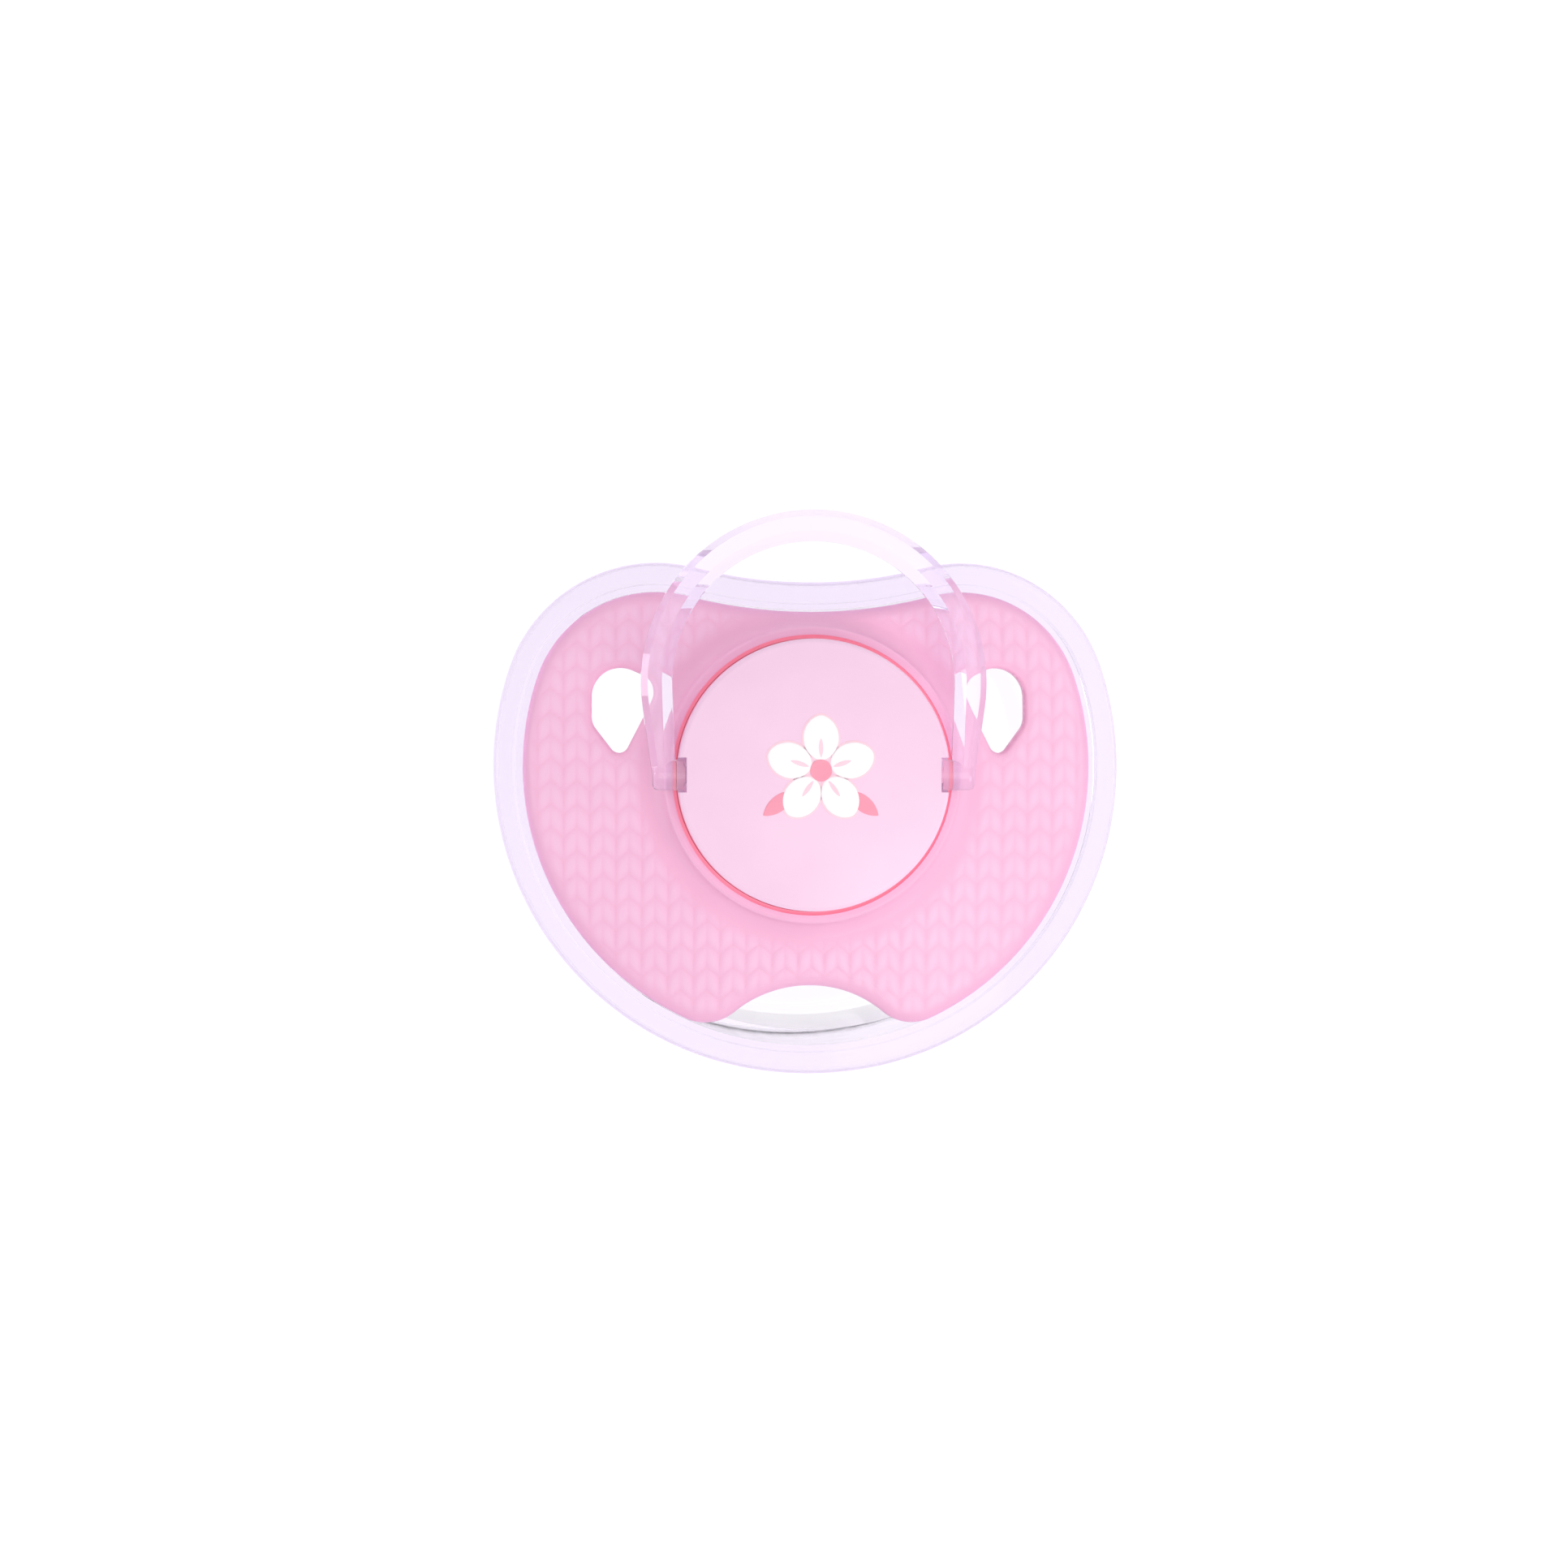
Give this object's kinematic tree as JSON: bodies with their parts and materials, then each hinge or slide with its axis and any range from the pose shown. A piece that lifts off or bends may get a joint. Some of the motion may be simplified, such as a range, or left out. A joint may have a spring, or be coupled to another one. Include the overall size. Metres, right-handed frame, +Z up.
{
  "type": "pacifier with protective cap",
  "caption": "Baby pacifier: a curved shield with vents, a hollow nipple, a domed button and a swinging ring handle, lying in a deep clear cover.",
  "frame": {"origin": "centre of the cap's flat foot, on the nipple's axis", "axes": "+Z up out of the cap's mouth, the way the pacifier leaves it; +Y towards the baby's nose, the way the ring points at rest; +X across the shield"},
  "size_m": [0.0494, 0.0442, 0.0384],
  "materials": {
    "cap_clear": "clear polypropylene with a faint lilac tint, polished",
    "shield_pink": "satin moulded pink with a shallow knit relief",
    "nipple_silicone": "clear soft silicone, satin",
    "plug_white": "white moulded plastic",
    "button_pink": "pale pink moulded plastic, soft gloss, with a small printed flower",
    "ring_clear": "clear moulded plastic with a faint lilac tint, polished"
  },
  "bodies": {
    "cap": {"protective_cap": "cap_clear"},
    "pacifier": {"shield": "shield_pink", "nipple": "nipple_silicone", "nipple_plug": "plug_white", "button": "button_pink"},
    "ring": {"ring_handle": "ring_clear"}
  },
  "joints": [
    {"name": "cap_pull_off", "type": "slide", "parent": "cap", "child": "pacifier", "axis": [0, 0, 1], "range_m": [0, 0.04]},
    {"name": "ring_swing", "type": "hinge", "parent": "pacifier", "child": "ring", "pos_m": [0, 0, 0.03625], "axis": [1, 0, 0], "range_deg": [0, 185]}
  ]
}
